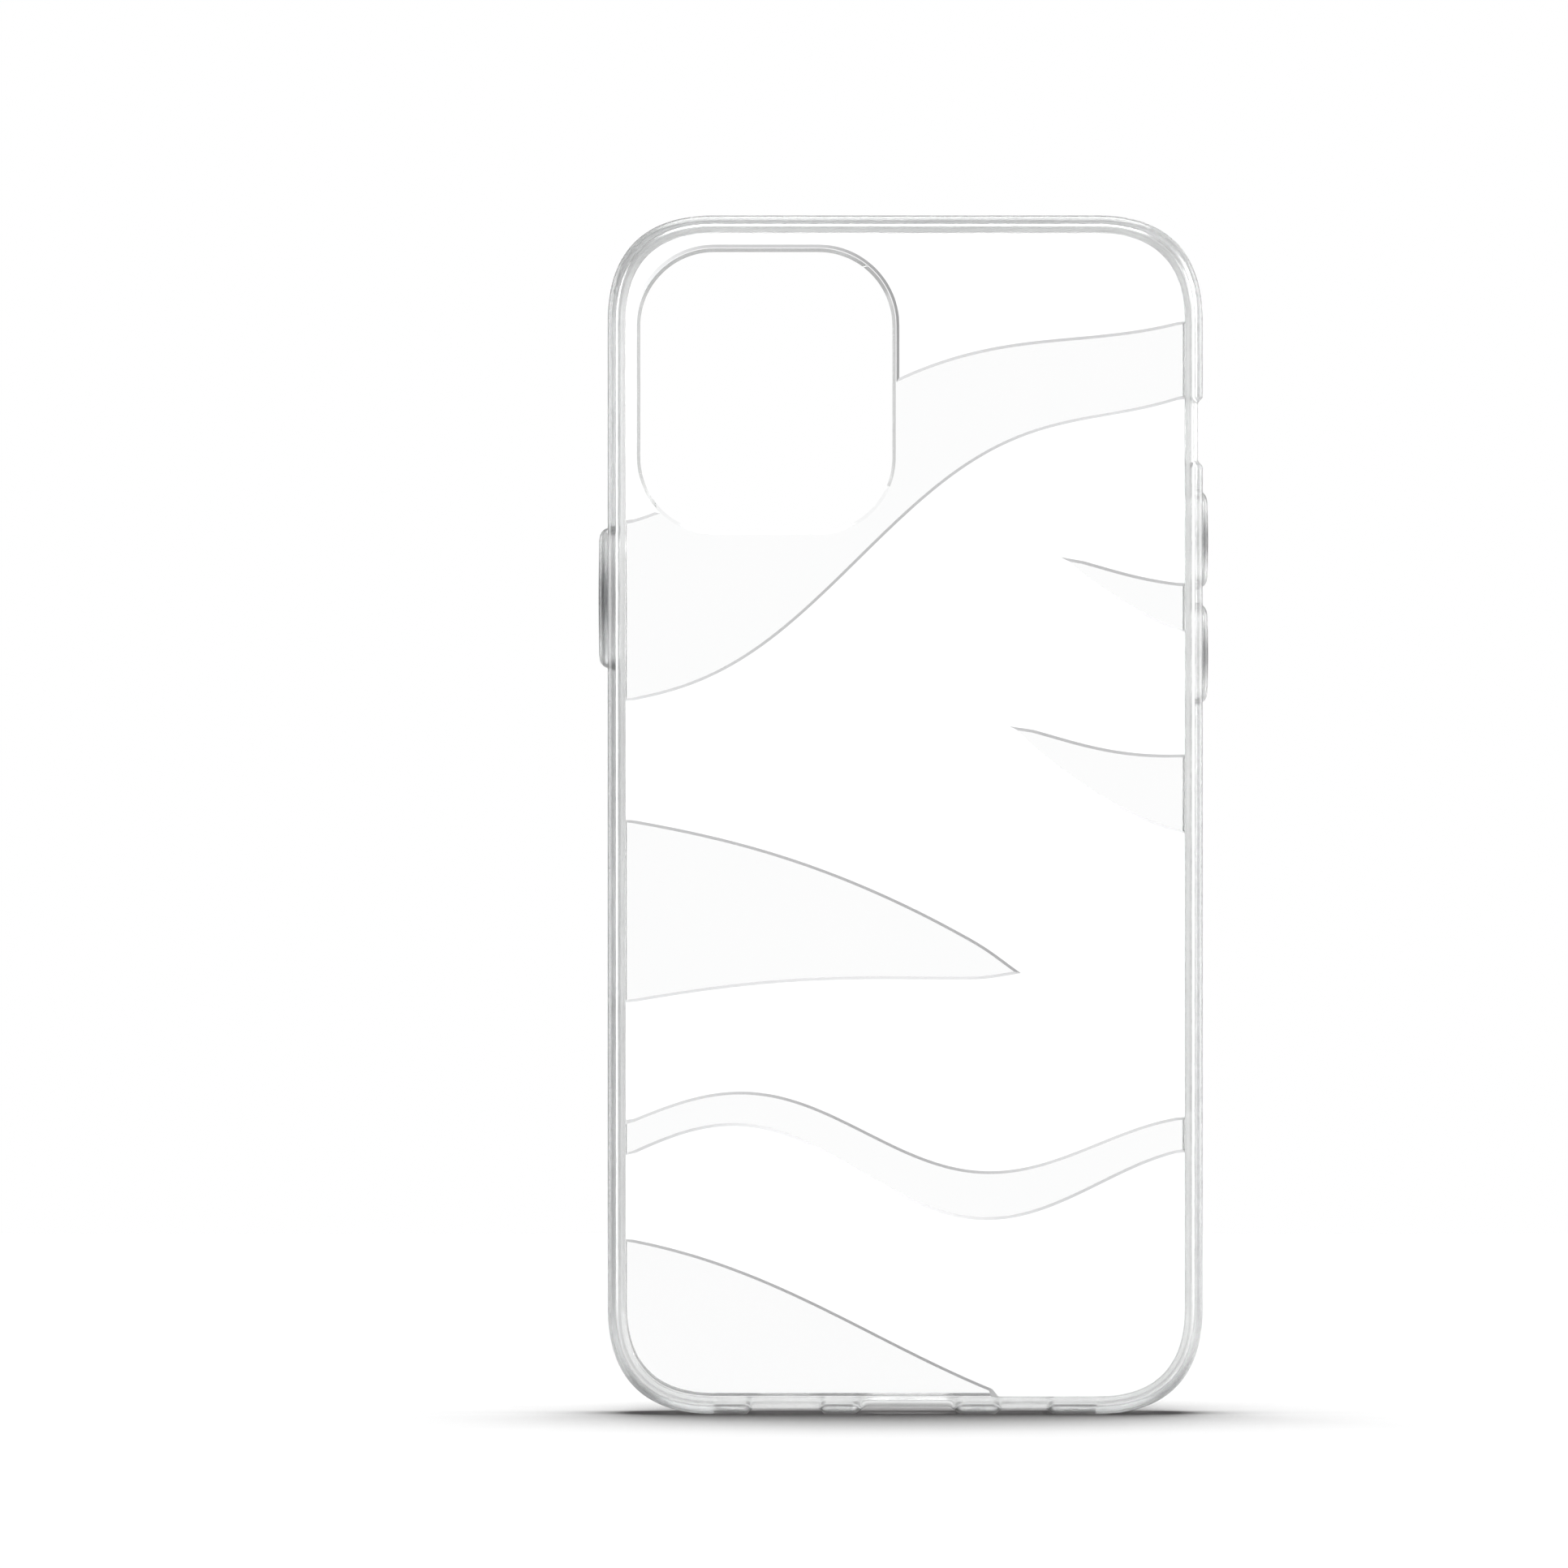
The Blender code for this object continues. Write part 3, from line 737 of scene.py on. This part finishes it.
def clear_soft_plastic(name="clear soft plastic", pad=None):
    """Clear TPU: faintly milky, greyer the deeper it is, with the soft waviness of a mould."""
    material, tree, shader = new_material(name)
    place = tree.nodes.new("ShaderNodeTexCoord").outputs["Object"]
    cloud = ranged(tree, noise(tree, place, *SOFT_CLOUDS), *SOFT_CLOUD_SPREAD, 0.0, 1.0)
    colour = two_colours(tree, cloud, *SOFT_COLOURS)
    # a pad's copy gets painted shade down its middle
    if pad:
        colour = painted_shade_in_the_middle(tree, place, colour, pad)
    tree.links.new(colour, shader.inputs["Base Color"])
    grain = noise(tree, place, *SOFT_GRAIN)
    tree.links.new(ranged(tree, grain, *NOISE_SPREAD, *SOFT_ROUGHNESS), shader.inputs["Roughness"])
    waves = bumped(tree, noise(tree, place, *SOFT_WAVES), SOFT_WAVE_HEIGHT)
    tree.links.new(bumped(tree, grain, SOFT_GRAIN_HEIGHT, waves), shader.inputs["Normal"])
    shader.inputs["Transmission Weight"].default_value = SOFT_THROUGH
    shader.inputs["IOR"].default_value = SOFT_IOR
    depth = add_node(tree, "ShaderNodeVolumeAbsorption", color=SOFT_DEPTH_COLOUR, density=SOFT_DENSITY)
    tree.links.new(depth.outputs["Volume"], tree.nodes["Material Output"].inputs["Volume"])
    return material


def clear_hard_plastic():
    """Clear polycarbonate: glossy and flat, with faint hairlines from handling."""
    material, tree, shader = new_material("clear hard plastic")
    place = tree.nodes.new("ShaderNodeTexCoord").outputs["Object"]
    haze = noise(tree, place, *HARD_HAZE)
    tree.links.new(two_colours(tree, haze, *HARD_COLOURS), shader.inputs["Base Color"])
    hairs = maths(tree, "MAXIMUM", *(noise(tree, stretched(tree, place, stretch, turn), scale, detail)
                                     for stretch, turn, scale, detail in (HAIRS, CROSSING_HAIRS)))
    tree.links.new(ranged(tree, hairs, *HAIR_SPREAD, *HARD_ROUGHNESS), shader.inputs["Roughness"])
    tree.links.new(bumped(tree, hairs, HAIR_HEIGHT), shader.inputs["Normal"])
    shader.inputs["Transmission Weight"].default_value = 1.0
    shader.inputs["IOR"].default_value = HARD_IOR
    return material


def white_ink():
    """Cured white ink: satin, with the fine grain of sprayed drops and faint passes of the print head.

    Its sloping edges have painted shade, so they are greyer than its flat face.
    """
    material, tree, shader = new_material("white ink")
    coordinates = tree.nodes.new("ShaderNodeTexCoord")
    place = coordinates.outputs["Object"]
    cloud = ranged(tree, noise(tree, place, *INK_CLOUDS), *NOISE_SPREAD, 0.0, 1.0)
    face = two_colours(tree, cloud, *INK_COLOURS)
    facing = maths(tree, "ABSOLUTE", part_along(tree, coordinates.outputs["Normal"], "Y"))
    # painted shade: faces that slope away from flat get a darker colour than the flat face
    colour = two_colours(tree, ranged(tree, facing, *INK_FACING, 0.0, 1.0), INK_SLOPE_PAINTED_SHADE, face)
    tree.links.new(colour, shader.inputs["Base Color"])
    drops = noise(tree, place, *INK_DROPS)
    passes = noise(tree, stretched(tree, place, PASS_STRETCH), *INK_PASSES)
    tree.links.new(ranged(tree, drops, *NOISE_SPREAD, *INK_ROUGHNESS), shader.inputs["Roughness"])
    normal = bumped(tree, passes, INK_GRAIN_HEIGHT, bumped(tree, drops, INK_GRAIN_HEIGHT))
    tree.links.new(normal, shader.inputs["Normal"])
    return material


# ---------------------------------------------------------------- the studio

# Direction to each light, how wide it looks in degrees, and its strength
SIDE_LIGHTS = {
    "key light": ((0.82, -0.50, 0.27), 30, 4.9),
    "right rim light": ((0.93, 0.35, 0.12), 40, 1.2),
    "left rim light": ((-0.93, 0.35, 0.12), 40, 1.2),
}
TOP_LIGHT = ((0.0, 0.18, 0.98), 50, 2.9)
AMBIENT = 0.24                  # how strong the world is as light
TENT = 1.03                     # how strong it is through the clear plastic, where no flag is
FLOOR_SIZE = 1200.0 * MM
FLOOR_SEEN = (0.92, 0.92, 0.92)
FLOOR_LIT = (0.55, 0.55, 0.55)  # the floor's colour for the light that it throws back up at the case
FLOOR_THROUGH_GLOW = 0.98            # how strongly it glows, a painted light, where seen through the clear plastic
FLOOR_ROUGHNESS = 0.9
FLOOR_GLOSS = 0.1
# Painted shadow: the floor's colour darkens close to the case
CONTACT_SHADE = (0.13, 0.125, 0.125)
CONTACT_REACH = 60.0 * MM
CONTACT_OPENNESS = (0.5, 0.92)  # from fully in the contact shade to out of it

# The grey flags: where they start and end, as the share of a direction that runs sideways or upwards, and
# how dark they are. The corner flags stand where both shares are large.
FLAG_START = (0.12, 0.75)
FLAG_END = (0.84, 0.97)
FLAG_PAST_END = 0.15            # the share of its darkness that a side flag keeps past its end
FLAG_LEVELS = (0.05, 0.6)
FLAG_OFF_LEVEL = 0.35           # the share that it keeps high up and low down
FLAG_DARK = 0.6
OVERHEAD_START = (0.10, 0.55)
OVERHEAD_DARK = 0.5
CORNER_START = (0.12, 0.30)
CORNER_DARK = 0.6


def make_light(name, direction, width, strength):
    data = bpy.data.lights.new(name, "SUN")
    data.angle = radians(width)
    data.energy = strength
    light = new_piece(name, data)
    light.rotation_euler = (-Vector(direction)).to_track_quat("-Z", "Y").to_euler()
    return light


def keep_off(light, thing):
    """The low side lights leave the floor alone, so that the case casts no long shadows on it."""
    group = bpy.data.collections.new("not lit by " + light.name)
    group.objects.link(thing)
    group.collection_objects[0].light_linking.link_state = "EXCLUDE"
    light.light_linking.receiver_collection = group


def make_floor(height):
    """A pale floor with a painted shadow right beside the case, that glows with painted light through the
    clear plastic.
    """
    bpy.ops.mesh.primitive_plane_add(size=FLOOR_SIZE, location=(0, 0, height))
    floor = bpy.context.object
    floor.name = "floor"
    material, tree, shader = new_material("pale floor")
    path = tree.nodes.new("ShaderNodeLightPath")
    # painted shadow: the floor's colour turns dark where the case is near
    nearness = add_node(tree, "ShaderNodeAmbientOcclusion", distance=CONTACT_REACH)
    contact = ranged(tree, nearness.outputs["AO"], *CONTACT_OPENNESS, 0.0, 1.0)
    open_floor = two_colours(tree, contact, CONTACT_SHADE, FLOOR_SEEN)
    colour = two_colours(tree, path.outputs["Is Diffuse Ray"], open_floor, FLOOR_LIT)
    tree.links.new(colour, shader.inputs["Base Color"])
    shader.inputs["Roughness"].default_value = FLOOR_ROUGHNESS
    shader.inputs["Specular IOR Level"].default_value = FLOOR_GLOSS
    # painted light: the floor glows for rays that came through the clear plastic, so the shade under the case
    # doesn't show there
    glow = add_node(tree, "ShaderNodeEmission", strength=FLOOR_THROUGH_GLOW)
    mixed = tree.nodes.new("ShaderNodeMixShader")
    tree.links.new(path.outputs["Is Transmission Ray"], mixed.inputs["Fac"])
    tree.links.new(shader.outputs["BSDF"], mixed.inputs[1])
    tree.links.new(glow.outputs["Emission"], mixed.inputs[2])
    tree.links.new(mixed.outputs["Shader"], tree.nodes["Material Output"].inputs["Surface"])
    floor.data.materials.append(material)
    return floor


def make_world():
    """A white tent. What clear plastic refracts has soft grey flags at both sides and overhead."""
    world = bpy.data.worlds.new("studio")
    bpy.context.scene.world = world
    world.use_nodes = True
    tree = world.node_tree
    background = tree.nodes["Background"]
    direction = tree.nodes.new("ShaderNodeTexCoord").outputs["Generated"]
    aside = maths(tree, "ABSOLUTE", part_along(tree, direction, "X"))
    up = part_along(tree, direction, "Z")
    off_level = maths(tree, "ABSOLUTE", up)

    def smooth(value, limits, before, after):
        return ranged(tree, value, *limits, before, after, "SMOOTHSTEP")

    sideways = maths(tree, "MULTIPLY", smooth(aside, FLAG_START, 0.0, 1.0),
                     smooth(aside, FLAG_END, 1.0, FLAG_PAST_END))
    level = smooth(off_level, FLAG_LEVELS, 1.0, FLAG_OFF_LEVEL)
    flags = maths(tree, "MULTIPLY", maths(tree, "MULTIPLY", sideways, level), FLAG_DARK)
    overhead = maths(tree, "MULTIPLY", smooth(up, OVERHEAD_START, 0.0, 1.0), OVERHEAD_DARK)
    cornered = smooth(maths(tree, "MINIMUM", aside, off_level), CORNER_START, 0.0, 1.0)
    corners = maths(tree, "MULTIPLY", cornered, CORNER_DARK)
    dark = maths(tree, "MAXIMUM", maths(tree, "ADD", flags, overhead), corners)
    tent = maths(tree, "SUBTRACT", TENT, dark)

    path = tree.nodes.new("ShaderNodeLightPath")
    through = add_node(tree, "ShaderNodeMix", data_type="FLOAT")
    tree.links.new(path.outputs["Is Transmission Ray"], through.inputs["Factor"])
    through.inputs["A"].default_value = AMBIENT
    tree.links.new(tent, through.inputs["B"])
    seen = add_node(tree, "ShaderNodeMix", data_type="FLOAT")
    tree.links.new(path.outputs["Is Camera Ray"], seen.inputs["Factor"])
    tree.links.new(through.outputs["Result"], seen.inputs["A"])
    seen.inputs["B"].default_value = 1.0
    tree.links.new(seen.outputs["Result"], background.inputs["Strength"])
    background.inputs["Color"].default_value = (1.0, 1.0, 1.0, 1.0)
    bpy.context.scene.view_settings.view_transform = "Standard"


def make_camera():
    data = bpy.data.cameras.new("camera")
    camera = bpy.data.objects.new("camera", data)
    bpy.context.scene.collection.objects.link(camera)
    camera.location = (VIEW_CENTRE_X, -VIEW_DISTANCE, VIEW_CENTRE_Z)
    camera.rotation_euler = (pi / 2, 0, 0)
    data.sensor_width = SENSOR_WIDTH
    data.lens = SENSOR_WIDTH * VIEW_DISTANCE / VIEW_WIDTH
    data.clip_start = CLIP_START
    data.clip_end = CLIP_END
    bpy.context.scene.camera = camera


def main():
    cad_low, cad_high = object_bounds()
    make_camera()
    make_world()
    floor = make_floor(cad_low.z)
    make_light("top light", *TOP_LIGHT)
    for name, light in SIDE_LIGHTS.items():
        keep_off(make_light(name, *light), floor)

    soft = clear_soft_plastic()
    hard = clear_hard_plastic()
    ink = white_ink()
    make_bumper(soft)
    make_plate(hard)
    for node, body in PADS.items():
        make_pad(node, body, clear_soft_plastic("clear soft plastic of " + node, node))
        make_web(node, soft)
    for node in PRINTS:
        make_print(node, ink)


main()
